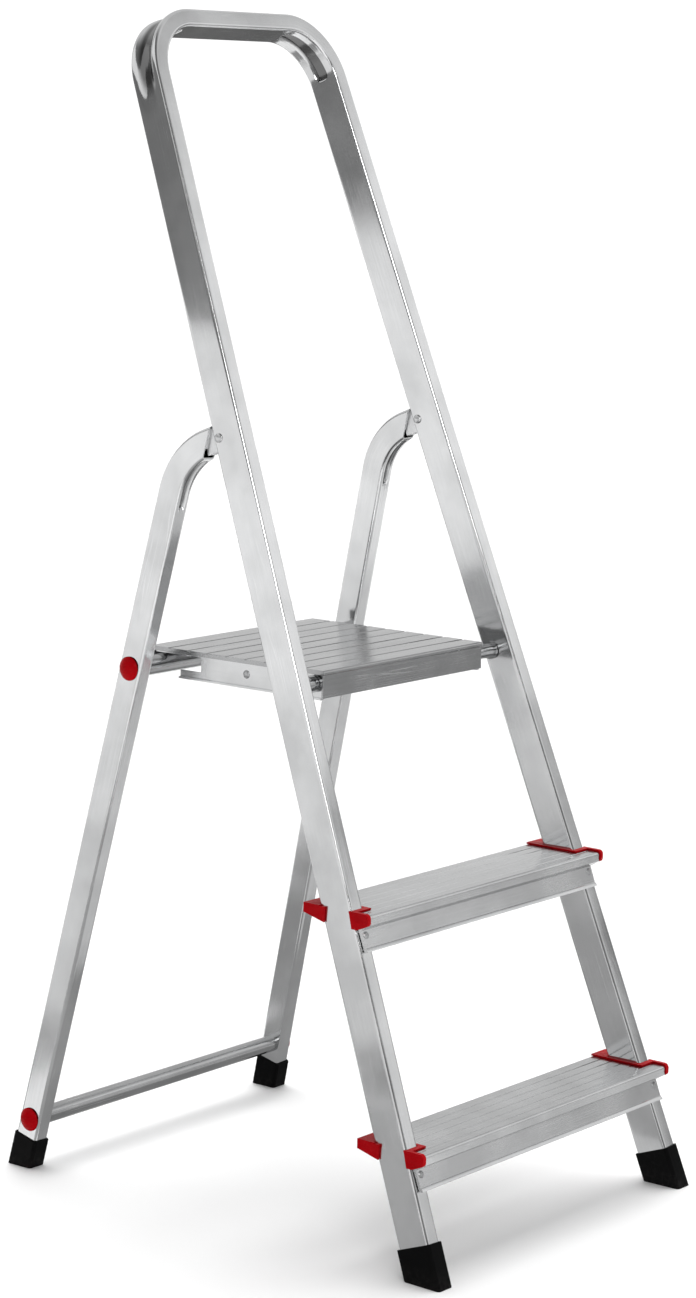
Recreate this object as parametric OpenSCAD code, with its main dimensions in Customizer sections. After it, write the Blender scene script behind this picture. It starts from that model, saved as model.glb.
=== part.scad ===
// Folding aluminium step ladder: two treads, a standing platform and a tall handrail loop.
// Millimetres. +Z is up, the user climbs towards +Y, and the ladder is symmetric about x = 0.
// The origin is on the floor, halfway between the front and the rear feet.

/* [Overall] */

// Height of the platform's top above the floor
platform_height = 600; // [500:5:720]
// Height of the lower tread's top above the floor
lower_tread_height = 134; // [110:1:170]
// Outside width of the front frame at the floor
floor_width = 459; // [380:1:560]
// Outside width of the rear frame at the floor
rear_floor_width = 445; // [380:1:540]
// Length of the front frame along its stiles
frame_length = 1376; // [1150:2:1600]
// Lean of the front frame from upright, degrees
front_lean = 20.7; // [15:0.1:24]
// Lean of the rear frame from upright, degrees
rear_lean = 13.1; // [9:0.1:18]
// Inward lean of each front stile, degrees
front_taper = 3.03; // [1:0.01:4]

/* [Front frame tube] */

// Front frame tube, size seen from the front
stile_w = 20; // [16:0.5:24]
// Front frame tube, size seen from the side
stile_d = 40; // [34:0.5:48]
// Wall of the frame tubes
tube_wall = 1.5; // [1.2:0.1:2]
// Corner radius of the frame tubes
tube_corner = 3.5; // [2.5:0.1:5]
// Middle radius of the two top bends
top_bend_r = 68; // [55:1:90]
// Width of the pressed groove inside the top bends
top_groove_w = 17; // [12:0.5:20]
// Depth of the pressed groove inside the top bends
top_groove_depth = 4; // [2:0.5:5]
// Width of the hollow pressed into the outside of the top bends
top_hollow_w = 26; // [16:0.5:28]
// Depth of the hollow pressed into the outside of the top bends
top_hollow_depth = 4.5; // [1:0.5:5]

/* [Rear frame] */

// Rear leg tube, size seen from the back
leg_w = 20; // [16:0.5:24]
// Rear leg tube, size seen from the side
leg_d = 30; // [25:0.5:36]
// Middle radius of the bend at the top of each leg
leg_bend_r = 80; // [65:1:100]
// Distance from the leg's middle line to the hinge
leg_offset = 51.9; // [46:0.1:60]
// Width of the pressed groove inside the leg's bend
leg_groove_w = 8; // [6:0.5:10]
// Depth of the pressed groove inside the leg's bend
leg_groove_depth = 4; // [2:0.5:5]
// Diameter of the upper rear tube, which the platform rests on
upper_tube_d = 22; // [18:0.5:25]
// Diameter of the lower rear tube
lower_tube_d = 20; // [16:0.5:25]
// Height of the lower rear tube's middle
lower_tube_z = 56; // [45:1:90]
// Wall of the round tubes
round_wall = 1.5; // [1:0.1:2]
// Diameter of the domed end caps
cap_d = 26.5; // [24:0.5:32]
// Height of the end caps' dome
cap_dome = 6; // [4:0.5:9]

/* [Hinge] */

// Distance of the hinge up the front stile
hinge_up = 904; // [820:1:1000]
// Distance of the hinge behind the stile's middle
hinge_back = 12.5; // [10:0.5:13]
// Diameter of the hinge pin
hinge_pin_d = 6; // [5:0.5:8]
// Diameter of the hinge pin's heads
hinge_head_d = 10; // [8:0.5:12]
// Height of the hinge pin's heads
hinge_head_h = 2; // [1.5:0.1:3]
// Thickness of the hinge tongue
tongue_t = 12; // [10:0.5:13]

/* [Treads] */

// Depth of the tread in front of the stile's middle
tread_front = 44; // [38:0.5:50]
// Depth of the tread behind the stile's middle
tread_back = 39; // [32:0.5:44]
// Thickness of the tread's sheet
tread_sheet = 2.2; // [1.8:0.1:3]
// Height of the rounded nose at the tread's front
nose_height = 10; // [8:0.5:14]
// Height of the tread from its top to the skirt's bottom edge
skirt_height = 39; // [32:0.5:46]
// Gap between the skirt and the stile's front face
skirt_standoff = 1; // [0.8:0.1:2]
// Height of the flange along the tread's back edge
back_flange = 9; // [6:0.5:14]
// Number of grip grooves on a tread
tread_grooves = 5; // [3:1:7]
// Diameter of the tread rivets' heads
rivet_head_d = 8; // [6:0.5:10]
// Diameter of the rivets' shanks
rivet_d = 4; // [3:0.2:5]

/* [Platform] */

// Width of the platform
platform_w = 280; // [220:2:300]
// Distance of the platform's front edge ahead of its pivot
platform_overhang = 14.5; // [13:0.5:18]
// Distance the platform runs on behind the rear tube it rests on
platform_behind = 6.8; // [4:0.2:12]
// Thickness of the platform's top sheet
platform_sheet = 2.4; // [2:0.1:3]
// Height of the plate from its top to the bottom of its stiffening ribs
platform_thick = 5; // [4:0.5:6]
// Height of the platform's front skirt
platform_skirt = 30; // [24:0.5:36]
// Number of grip grooves on the platform
platform_grooves = 8; // [6:1:10]
// Distance of the platform's pivot behind the stile's middle line
pivot_back = 9; // [6:0.5:9]
// Diameter of the tube the platform pivots on
pivot_tube_d = 16; // [14:0.5:18]
// Thickness of the side rails
rail_t = 2; // [1.5:0.1:3]
// Height of the side rails' lower lip at the rear
rail_lip_h = 9; // [7:0.5:11]
// Gap between the end of the rails' lower lip and the rear tube
rail_lip_gap = 12.5; // [10:0.5:16]
// Distance the rails' webs stop short of the end of the lower lip
rail_web_short = 30; // [20:1:50]
// Width of the side rails' bottom edge
rail_edge_w = 5; // [3:0.5:6]
// Distance of the tie rod behind the pivot
tie_rod_back = 96; // [70:1:120]
// Diameter of the tie rod between the rails
tie_rod_d = 6; // [5:0.5:8]

/* [Feet and collars] */

// Height of the front feet up the stile
front_foot_h = 40; // [30:1:50]
// Height of the rear feet up the leg
rear_foot_h = 36; // [28:1:46]
// Wall of the feet
foot_wall = 2.1; // [1.8:0.1:3]
// Thickness of the collars' trim strip
collar_t = 2; // [1.5:0.1:3]
// Distance the collars stand out beyond the stile
collar_out = 3; // [2:0.5:4]

/* [Fits] */

// Clearance between fixed pieces
fit_gap = 0.3; // [0.2:0.05:0.4]
// Radial clearance of the running pins and tubes
run_gap = 0.06; // [0.02:0.01:0.1]
// Gap between the platform's rails and the rear tube they rest on
rest_gap = 0.3; // [0.2:0.05:0.5]

/* [Hidden] */

$fn = 48;
big = 2000;
eps = 0.01;
bend_swell = 0.05;
lap = 0.5;
fold = front_lean + rear_lean;
bend_angle = 90 - fold;

// Hinge position in the side view, measured from where the stile's middle line meets the floor
hinge_y = hinge_up * sin(front_lean) + hinge_back * cos(front_lean);
hinge_z = hinge_up * cos(front_lean) - hinge_back * sin(front_lean);
rear_foot_y = hinge_y + leg_offset * cos(rear_lean)
    + (hinge_z + leg_offset * sin(rear_lean)) * tan(rear_lean);

// Feet, and the shift that puts the origin in the middle of the footprint
front_foot_d = stile_d + 2 * (foot_wall + fit_gap);
front_foot_w = stile_w + 2 * (foot_wall + fit_gap) - 1;
rear_foot_d = leg_d + 2 * (foot_wall + fit_gap);
rear_foot_w = leg_w + 2 * (foot_wall + fit_gap) - 1;
foot_corner = 4;
// The feet are drawn on below the floor before they are cut off level
foot_below = 20;
front_reach = front_foot_d / 2 / cos(front_lean);
rear_reach = rear_foot_y + rear_foot_d / 2 / cos(rear_lean);
front_y = -(rear_reach - front_reach) / 2;

// Front stiles
stile_x0 = floor_width / 2 - stile_w / 2 / cos(front_taper);
top_v = frame_length - stile_w / 2;
bend_v = top_v - top_bend_r;
bend_x = stile_x0 - bend_v * tan(front_taper) - top_bend_r / cos(front_taper);
stile_cut = 14;
stile_len = (bend_v + top_bend_r * sin(front_taper)) / cos(front_taper) - stile_cut;
rail_len = 2 * bend_x;
groove_end = 4;

// Rear legs
hinge_x = stile_x0 - hinge_up * tan(front_taper);
leg_x0 = rear_floor_width / 2 - leg_w / 2;
hinge_v = (rear_foot_y - hinge_y) * sin(rear_lean) + hinge_z * cos(rear_lean);
leg_taper = atan((leg_x0 - hinge_x) / hinge_v);
tail_len = (leg_offset - leg_bend_r * (1 - cos(bend_angle))) / sin(bend_angle);
leg_cut = 10;
tail_run = 30;
plug_back = 4;
leg_groove_stop = 14;
leg_len = hinge_v / cos(leg_taper) - leg_bend_r * sin(bend_angle) - tail_len * cos(bend_angle)
    - leg_cut;
tongue_end_r = 9;
tongue_step = 0.4;
tongue_half = leg_d / 2 - tube_wall - 0.2;
stile_back = stile_d / 2 - hinge_back;
mitre_gap = 1.5;
mitre_mid = stile_back + mitre_gap + leg_d / 2 * tan(fold);
slot_up = tongue_half + 1.2;
slot_down = (tongue_half + stile_back * sin(fold)) / cos(fold) + 1.2;

// Platform and its pivot
rail_top_z = platform_height - platform_thick - 0.2;
rail_flange = 1.5;
rail_flange_w = 14;
rail_bottom_z = platform_height - platform_skirt - 2;
pivot_z = rail_top_z - rail_flange - pivot_tube_d / 2 - 0.3;
pivot_y = pivot_z * tan(front_lean) + pivot_back;
plate_y = pivot_y - platform_overhang;
rail_in = 3;
rail_x = platform_w / 2 - rail_in;
upper_tube_z = rail_top_z - rail_flange - rest_gap - upper_tube_d / 2;
upper_tube_y = rear_foot_y - upper_tube_z * tan(rear_lean);
lower_tube_y = rear_foot_y - lower_tube_z * tan(rear_lean);
plate_end_y = upper_tube_y + upper_tube_d / 2 + platform_behind;
platform_depth = plate_end_y - plate_y;
jaw_y = upper_tube_y - upper_tube_d / 2 - rail_lip_gap;
web_end_y = jaw_y - rail_web_short;
rail_front_y = plate_y + 4.5;
tie_rod_y = pivot_y + tie_rod_back;
tie_rod_z = rail_bottom_z + 15;

// Treads
step_pitch = (platform_height - lower_tread_height) / 2;
tread_1_z = lower_tread_height;
tread_2_z = lower_tread_height + step_pitch;
skirt_t = 3;
rivet_drop = skirt_height - 8;
groove_w = 1.8;
groove_deep = 0.9;

function stile_x(z) = stile_x0 - z / cos(front_lean) * tan(front_taper);
function leg_x(z) = leg_x0 - z / cos(rear_lean) * tan(leg_taper);
function arc(cx, cy, r, a0, a1) = [for (i = [0 : 6]) [
    cx + r * cos(a0 + (a1 - a0) * i / 6), cy + r * sin(a0 + (a1 - a0) * i / 6)]];

// ---- placing ----

// x across, y behind the front frame's plane, z up along the frame
module in_front_frame() {
    translate([0, front_y, 0]) rotate([-front_lean, 0, 0]) children();
}

// z up along the right stile's middle line
module on_stile() {
    in_front_frame() translate([stile_x0, 0, 0]) rotate([0, -front_taper, 0]) children();
}

// z up along the right rear leg's middle line
module on_leg() {
    translate([leg_x0, front_y + rear_foot_y, 0])
        rotate([rear_lean, 0, 0])
            rotate([0, -leg_taper, 0]) children();
}

// Middle of the right hinge: x across, y away from the stile, z up along the stile
module at_hinge() {
    translate([hinge_x, front_y + hinge_y, hinge_z]) rotate([-front_lean, 0, 0]) children();
}

// x across, y behind the stile's middle line at the tread, z above the tread
module at_tread(z) {
    translate([0, front_y + z * tan(front_lean), z]) children();
}

module left_or_right(side) {
    if (side < 0) mirror([1, 0, 0]) children();
    else children();
}

module x_rod(x0, x1, y, z, d) {
    translate([x0, y, z]) rotate([0, 90, 0]) cylinder(h = x1 - x0, d = d);
}

module dome(d, h) {
    r = (d * d / 4 + h * h) / (2 * h);
    intersection() {
        translate([0, 0, h - r]) sphere(r = r, $fn = 64);
        cylinder(h = h + 1, d = d);
    }
}

module above_floor() {
    difference() {
        children();
        translate([-big / 2, -big / 2, -big]) cube([big, big, big]);
    }
}

// Extrudes a shape drawn as (y, z) along x
module along_x(x0, x1) {
    translate([x0, 0, 0]) rotate([90, 0, 90]) linear_extrude(height = x1 - x0) children();
}

// ---- tubes ----

module round_box(w, d, r) {
    square([w - 2 * r, d], center = true);
    square([w, d - 2 * r], center = true);
    for (sx = [-1, 1], sy = [-1, 1])
        translate([sx * (w / 2 - r), sy * (d / 2 - r)]) circle(r = r, $fn = 32);
}

// Wall of a rectangular tube, seen along the tube; swell thickens the wall on both sides
module tube_ring(w, d, swell) {
    inside = tube_wall + swell;
    difference() {
        round_box(w + 2 * swell, d + 2 * swell, tube_corner + swell);
        round_box(w - 2 * inside, d - 2 * inside, tube_corner - inside);
    }
}

// Straight tube that runs a little way into the bends at its ends
module straight_tube(w, d, len) {
    translate([0, 0, -lap]) linear_extrude(height = len + 2 * lap) tube_ring(w, d, 0);
}

// Rectangle from r0 to r1 and so wide, turned about z from angle a0 to a1
module turned_band(r0, r1, wide, a0, a1) {
    rotate([0, 0, a0]) rotate_extrude(angle = a1 - a0, $fn = 96)
        translate([r0, -wide / 2]) square([r1 - r0, wide]);
}

// Tube turned about z through an angle, with a groove pressed into its inner side. The tube is
// w wide towards the bend's middle and d wide across it; the groove runs from angle a0 to a1
module bent_tube(w, d, r, angle, groove_wide, groove_depth, a0, a1) {
    inside = r - w / 2;
    difference() {
        union() {
            rotate_extrude(angle = angle, $fn = 96) translate([r, 0]) tube_ring(w, d, bend_swell);
            turned_band(inside + tube_wall / 2, inside + tube_wall + groove_depth,
                groove_wide + 2 * tube_wall, a0 - tube_wall, a1 + tube_wall);
        }
        turned_band(inside - 1, inside + groove_depth, groove_wide, a0, a1);
    }
}

// A bent tube with a hollow pressed into its outer side as well
module hollowed_bend(w, d, r, angle, a0, a1) {
    outside = r + w / 2;
    difference() {
        union() {
            bent_tube(w, d, r, angle, top_groove_w, top_groove_depth, a0, a1);
            turned_band(outside - top_hollow_depth - tube_wall, outside - tube_wall / 2,
                top_hollow_w + 2 * tube_wall, a0 - tube_wall, a1 + tube_wall);
        }
        turned_band(outside - top_hollow_depth, outside + 1, top_hollow_w, a0, a1);
    }
}

// One of the loop's corners, and whatever follows it along the tube
module loop_corner() {
    turn = 90 - front_taper;
    translate([top_bend_r, 0, 0]) rotate([-90, 0, 0]) rotate([0, 0, 180])
        hollowed_bend(stile_w, stile_d, top_bend_r, turn, groove_end, turn - groove_end);
    translate([top_bend_r, 0, 0]) rotate([0, turn, 0]) translate([-top_bend_r, 0, 0]) children();
}

module loop_straight(len) {
    straight_tube(stile_w, stile_d, len);
    translate([0, 0, len]) children();
}

// Left stile, corner, handrail, corner and right stile, each placed at the end of the last
module loop_body() {
    translate([-stile_x0, 0, 0]) rotate([0, front_taper, 0]) translate([0, 0, stile_cut])
        loop_straight(stile_len) loop_corner()
            loop_straight(rail_len) loop_corner()
                loop_straight(stile_len) {}
}

module stile_holes() {
    at_hinge() {
        x_rod(-stile_w, stile_w, 0, 0, hinge_pin_d + 0.2);
        translate([-stile_w / 2 + tube_wall + 0.7, 0, -slot_down])
            cube([stile_w - 2 * tube_wall - 1.4, stile_d, slot_down + slot_up]);
    }
    for (z = [tread_1_z, tread_2_z]) step_rivet(z, rivet_d + 0.2, false);
}

module front_loop() {
    color([0.8, 0.81, 0.82]) difference() {
        in_front_frame() loop_body();
        stile_holes();
        mirror([1, 0, 0]) stile_holes();
        x_rod(-stile_x(pivot_z), stile_x(pivot_z), front_y + pivot_y, pivot_z, pivot_tube_d + 0.2);
    }
}

// Room taken by the right stile, with a gap all round
module stile_room(gap) {
    on_stile() translate([0, 0, big / 2])
        cube([stile_w + 2 * gap, stile_d + 2 * gap, big], center = true);
}

// ---- treads ----

// Where the skirt's faces are, as (y) for a height above the tread
function skirt_y(z, n) = -n / cos(front_lean) + z * tan(front_lean);

module tread_profile() {
    back_n = stile_d / 2 + skirt_standoff;
    front_n = back_n + skirt_t;
    waist = -nose_height - 7.5;
    low = -skirt_height;
    lip = 1.6;
    difference() {
        union() {
            polygon(concat(
                [[tread_back, 0]],
                arc(-tread_front + 3, -3, 3, 90, 180),
                [[-tread_front, -nose_height], [skirt_y(waist, front_n), waist],
                    [skirt_y(low + 4, front_n), low + 4], [skirt_y(low + 4, front_n + lip), low + 3],
                    [skirt_y(low, front_n + lip), low + 0.6], [skirt_y(low, front_n), low],
                    [skirt_y(low, back_n), low], [skirt_y(waist + 0.7, back_n), waist + 0.7],
                    [-tread_front + 2, -nose_height + 1], [-tread_front + 2, -tread_sheet],
                    [tread_back - 2, -tread_sheet], [tread_back - 2, -back_flange],
                    [tread_back, -back_flange]]));
            for (z = [waist - 2, low + 2])
                translate([skirt_y(z, back_n) - 0.5, z])
                    square([skirt_standoff / cos(front_lean) + 0.3, 2]);
            for (y = [-tread_front * 0.45, tread_back * 0.5])
                translate([y, -6]) square([1.8, 6 - tread_sheet / 2]);
        }
        for (i = [1 : tread_grooves])
            translate([-tread_front + i * (tread_front + tread_back) / (tread_grooves + 1), 0])
                polygon([[-groove_w / 2, eps], [groove_w / 2, eps],
                    [groove_w / 4, -groove_deep], [-groove_w / 4, -groove_deep]]);
    }
}

// One rivet through the skirt and the right stile's front wall
module step_rivet(z, d, with_head) {
    face = stile_d / 2 + skirt_standoff + skirt_t;
    drop = rivet_drop / cos(front_lean);
    x = stile_x(z - rivet_drop);
    in_front_frame() translate([x, 0, z / cos(front_lean) - drop]) rotate([90, 0, 0]) {
        translate([0, 0, stile_d / 2 - tube_wall - 2]) cylinder(h = face - stile_d / 2 + tube_wall + 2,
            d = d);
        if (with_head) translate([0, 0, face + 0.1]) dome(rivet_head_d, 2);
        if (with_head) translate([0, 0, face - 0.1]) cylinder(h = 0.3, d = d);
    }
}

module step(z) {
    x1 = stile_x(z) + stile_w / 2 - 2;
    back_x = stile_x(z) - stile_w / 2 - fit_gap;
    difference() {
        at_tread(z) along_x(-x1, x1) tread_profile();
        for (s = [-1, 1]) left_or_right(s) {
            stile_room(fit_gap);
            at_tread(z) translate([back_x, 0, -big / 4]) cube([100, 100, big / 2]);
            step_rivet(z, rivet_d + 0.2, false);
        }
    }
}

module step_lower() {
    color([0.8, 0.81, 0.82]) step(tread_1_z);
}

module step_middle() {
    color([0.8, 0.81, 0.82]) step(tread_2_z);
}

// Trim strip round the stile, an end cap on the nose and a block behind the stile
module collar(z) {
    inner = stile_x(z) - stile_w / 2;
    outer = stile_x(z) + stile_w / 2;
    end_x = outer - 2 + fit_gap;
    half = stile_d / 2 / cos(front_lean);
    low = fit_gap;
    nose = tread_front + 1.5;
    nose_r = nose_height / 2;
    difference() {
        at_tread(z) {
            translate([inner - 4.5, -half - 6, low]) cube([4.5, half + 6 + tread_back + 2, collar_t]);
            translate([inner - 4.5, -half - 6, low])
                cube([outer + collar_out - inner + 4.5, 6 + 2, collar_t]);
            translate([inner - 4.5, half - 2, low])
                cube([outer + collar_out - inner + 4.5, tread_back + 4 - half, collar_t]);
            along_x(inner + 2, outer + collar_out)
                polygon([[half - 8, low + 1], [tread_back + 2, low + 1],
                    [tread_back + 2, -back_flange + 1], [half, -back_flange - 4],
                    [half - 8, -back_flange - 6]]);
            along_x(end_x, outer + collar_out)
                polygon(concat([[-half + 2, low + collar_t]],
                    arc(-nose + nose_r, low + collar_t - nose_r, nose_r, 90, 180),
                    arc(-nose + nose_r, nose_r - nose_height - 1.5, nose_r, 180, 235),
                    [[skirt_y(-nose_height - 6, stile_d / 2 + 3), -nose_height - 6],
                        [-half - 2, -nose_height - 6]]));
        }
        stile_room(fit_gap);
    }
}

module collar_lower_left() {
    color([0.78, 0.02, 0.06]) mirror([1, 0, 0]) collar(tread_1_z);
}

module collar_lower_right() {
    color([0.78, 0.02, 0.06]) collar(tread_1_z);
}

module collar_middle_left() {
    color([0.78, 0.02, 0.06]) mirror([1, 0, 0]) collar(tread_2_z);
}

module collar_middle_right() {
    color([0.78, 0.02, 0.06]) collar(tread_2_z);
}

module step_rivets() {
    color([0.7, 0.71, 0.72])
        for (z = [tread_1_z, tread_2_z], s = [-1, 1])
            left_or_right(s) step_rivet(z, rivet_d, true);
}

// ---- front feet, pivot tube and hinge pins ----

module front_foot() {
    above_floor() on_stile() difference() {
        translate([0, 0, -foot_below]) linear_extrude(height = foot_below + front_foot_h)
            round_box(front_foot_w, front_foot_d, foot_corner);
        translate([0, 0, stile_cut - lap - fit_gap]) linear_extrude(height = front_foot_h)
            round_box(stile_w + 2 * fit_gap, stile_d + 2 * fit_gap, tube_corner);
    }
}

module foot_front_left() {
    color([0.06, 0.06, 0.07]) mirror([1, 0, 0]) front_foot();
}

module foot_front_right() {
    color([0.06, 0.06, 0.07]) front_foot();
}

// Tube the platform turns on, held in the stiles' inner walls, with a bead beside each end of the
// platform
module pivot_tube() {
    end = stile_x(pivot_z) - stile_w / 2;
    y = front_y + pivot_y;
    color([0.76, 0.77, 0.78]) difference() {
        union() {
            x_rod(-end - 5, end + 5, y, pivot_z, pivot_tube_d);
            for (s = [-1, 1]) left_or_right(s) {
                x_rod(end - 3.4, end - 1.4, y, pivot_z, pivot_tube_d + 4);
                x_rod(platform_w / 2 + 0.5, platform_w / 2 + 2.5, y, pivot_z, pivot_tube_d + 3);
            }
        }
        x_rod(-end - 6, end + 6, y, pivot_z, pivot_tube_d - 2 * round_wall);
    }
}

module hinge_pin() {
    side = stile_w / 2 / cos(front_taper) + 0.45;
    at_hinge() {
        x_rod(-side - 0.5, side + 0.5, 0, 0, hinge_pin_d);
        for (s = [-1, 1])
            translate([s * side, 0, 0]) rotate([0, s * 90, 0]) dome(hinge_head_d, hinge_head_h);
    }
}

module hinge_pin_left() {
    color([0.6, 0.61, 0.62]) mirror([1, 0, 0]) hinge_pin();
}

module hinge_pin_right() {
    color([0.6, 0.61, 0.62]) hinge_pin();
}

// ---- platform ----

module plate_profile() {
    pitch = platform_depth / (platform_grooves + 1);
    difference() {
        union() {
            polygon(concat(
                [[platform_depth, 0]],
                arc(2.5, -2.5, 2.5, 90, 180),
                [[0, -4], [1.5, -5.5], [1.5, -platform_skirt], [3.5, -platform_skirt],
                    [3.5, -platform_sheet], [platform_depth - 3, -platform_sheet],
                    [platform_depth - 3, -12], [platform_depth, -12]]));
            for (i = [1 : platform_grooves])
                translate([i * pitch - 1, -platform_thick])
                    square([2, platform_thick - platform_sheet / 2]);
        }
        for (i = [1 : platform_grooves])
            translate([i * pitch, 0])
                polygon([[-groove_w, eps], [groove_w, eps], [groove_w / 2, -1.2],
                    [-groove_w / 2, -1.2]]);
    }
}

// Places along the platform where the rails are riveted on, between the stiffening ribs
function rivet_y(i) = plate_y + platform_depth / (platform_grooves + 1) * (i + 0.5);

module platform_rivet_set(d, with_head) {
    for (i = [2, 4, 6])
        translate([rail_x - rail_flange_w / 2, front_y + rivet_y(i), 0]) {
            translate([0, 0, rail_top_z - rail_flange - 1])
                cylinder(h = platform_height - 0.3 - rail_top_z + rail_flange + 1, d = d);
            if (with_head) translate([0, 0, rail_top_z - rail_flange - 0.1])
                rotate([180, 0, 0]) dome(7, 1.6);
        }
}

module platform_plate() {
    color([0.76, 0.77, 0.78]) difference() {
        union() {
            translate([0, front_y + plate_y, platform_height])
                along_x(-platform_w / 2, platform_w / 2) plate_profile();
            for (s = [-1, 1]) left_or_right(s)
                translate([platform_w / 2 - 2, front_y + plate_y + 3, platform_height - platform_thick])
                    cube([2, platform_depth - 5, platform_thick - platform_sheet / 2]);
        }
        for (s = [-1, 1]) left_or_right(s) platform_rivet_set(rivet_d + 0.2, false);
    }
}

module platform_rail() {
    y0 = front_y + rail_front_y;
    y1 = front_y + jaw_y;
    y2 = front_y + web_end_y;
    flange_end = front_y + plate_end_y - 4;
    difference() {
        union() {
            translate([rail_x - rail_t, y0, rail_bottom_z])
                cube([rail_t, y2 - y0, rail_top_z - rail_bottom_z]);
            translate([rail_x - rail_t, y0, rail_bottom_z]) cube([rail_t, y1 - y0, rail_lip_h]);
            translate([rail_x - rail_t, y0, rail_bottom_z]) cube([rail_edge_w, y1 - y0, 2]);
            translate([rail_x - rail_flange_w, y0 + rail_t, rail_top_z - rail_flange])
                cube([rail_flange_w, flange_end - y0 - rail_t, rail_flange]);
        }
        x_rod(rail_x - 10, rail_x + 10, front_y + pivot_y, pivot_z, pivot_tube_d + 2 * run_gap);
        x_rod(rail_x - 10, rail_x + 10, front_y + tie_rod_y, tie_rod_z, tie_rod_d + 0.2);
        platform_rivet_set(rivet_d + 0.2, false);
    }
}

module platform_rail_left() {
    color([0.8, 0.81, 0.82]) mirror([1, 0, 0]) platform_rail();
}

module platform_rail_right() {
    color([0.8, 0.81, 0.82]) platform_rail();
}

module platform_tie_rod() {
    y = front_y + tie_rod_y;
    color([0.66, 0.67, 0.68]) {
        x_rod(-rail_x - 0.4, rail_x + 0.4, y, tie_rod_z, tie_rod_d);
        for (s = [-1, 1])
            translate([s * (rail_x + 0.2), y, tie_rod_z]) rotate([0, s * 90, 0])
                dome(tie_rod_d + 3, 2);
    }
}

module platform_rivets() {
    color([0.66, 0.67, 0.68])
        for (s = [-1, 1]) left_or_right(s) platform_rivet_set(rivet_d, true);
}

// ---- rear frame ----

// z runs on along the leg's end, from the end of its bend towards the hinge
module on_tail() {
    translate([0, 0, leg_cut]) translate([0, 0, leg_len])
        translate([0, -leg_bend_r, 0]) rotate([bend_angle, 0, 0])
            translate([0, leg_bend_r, 0]) children();
}

// The leg's middle line turns about this axis at its bend
module at_leg_bend() {
    translate([0, 0, leg_cut]) translate([0, 0, leg_len]) translate([0, -leg_bend_r, 0])
        rotate([0, 90, 0]) rotate([0, 0, 90]) children();
}

module leg_body() {
    translate([0, 0, leg_cut]) straight_tube(leg_w, leg_d, leg_len);
    at_leg_bend() bent_tube(leg_d, leg_w, leg_bend_r, bend_angle, leg_groove_w, leg_groove_depth,
        groove_end, bend_angle - leg_groove_stop);
    on_tail() straight_tube(leg_w, leg_d, tail_run);
}

// Everything beyond the slanted end of the leg, which keeps clear of the stile when folded
module beyond_mitre(shift) {
    at_hinge() translate([0, mitre_mid + shift, 0]) rotate([fold, 0, 0])
        translate([-50, -100, -100]) cube([100, 100, 200]);
}

module rear_leg() {
    tubes = [[upper_tube_y, upper_tube_z, upper_tube_d], [lower_tube_y, lower_tube_z, lower_tube_d]];
    difference() {
        on_leg() leg_body();
        beyond_mitre(0);
        for (t = tubes)
            x_rod(leg_x(t[1]) - 30, leg_x(t[1]) + 30, front_y + t[0], t[1], t[2] + 0.2);
    }
}

module rear_leg_left() {
    color([0.8, 0.81, 0.82]) mirror([1, 0, 0]) rear_leg();
}

module rear_leg_right() {
    color([0.8, 0.81, 0.82]) rear_leg();
}

// Plug inside the leg's end and a tongue that turns on the hinge pin inside the stile
module hinge_tongue() {
    plug_w = leg_w - 2 * tube_wall - 2 * fit_gap;
    tongue_high = tongue_half - tongue_step;
    difference() {
        union() {
            difference() {
                on_leg() on_tail() translate([0, 0, -plug_back])
                    linear_extrude(height = plug_back + tail_run)
                        round_box(plug_w, 2 * tongue_half, tube_corner - tube_wall);
                beyond_mitre(1);
            }
            at_hinge() translate([-tongue_t / 2, 0, 0]) rotate([90, 0, 90])
                linear_extrude(height = tongue_t) {
                    circle(r = tongue_end_r);
                    polygon([[0, tongue_end_r], [stile_back, tongue_high], [mitre_mid + 5, tongue_high],
                        [mitre_mid + 5, -tongue_high], [stile_back, -tongue_high],
                        [0, -tongue_end_r]]);
                }
        }
        at_hinge() x_rod(-stile_w, stile_w, 0, 0, hinge_pin_d + 2 * run_gap);
    }
}

module hinge_tongue_left() {
    color([0.72, 0.73, 0.74]) mirror([1, 0, 0]) hinge_tongue();
}

module hinge_tongue_right() {
    color([0.72, 0.73, 0.74]) hinge_tongue();
}

module rear_tube(y, z, d) {
    end = leg_x(z) + leg_w / 2 + 0.2;
    difference() {
        x_rod(-end, end, front_y + y, z, d);
        x_rod(-end - 1, end + 1, front_y + y, z, d - 2 * round_wall);
    }
}

module rear_tube_upper() {
    color([0.76, 0.77, 0.78]) rear_tube(upper_tube_y, upper_tube_z, upper_tube_d);
}

module rear_tube_lower() {
    color([0.76, 0.77, 0.78]) rear_tube(lower_tube_y, lower_tube_z, lower_tube_d);
}

module cap(y, z, d) {
    end = leg_x(z) + leg_w / 2 + 1;
    translate([end, front_y + y, z]) rotate([0, 90, 0]) {
        dome(cap_d, cap_dome);
        translate([0, 0, -12]) cylinder(h = 12.5, d = d - 2 * round_wall - 0.4);
    }
}

module cap_upper_left() {
    color([0.78, 0.02, 0.06]) mirror([1, 0, 0]) cap(upper_tube_y, upper_tube_z, upper_tube_d);
}

module cap_upper_right() {
    color([0.78, 0.02, 0.06]) cap(upper_tube_y, upper_tube_z, upper_tube_d);
}

module cap_lower_left() {
    color([0.78, 0.02, 0.06]) mirror([1, 0, 0]) cap(lower_tube_y, lower_tube_z, lower_tube_d);
}

module cap_lower_right() {
    color([0.78, 0.02, 0.06]) cap(lower_tube_y, lower_tube_z, lower_tube_d);
}

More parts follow.
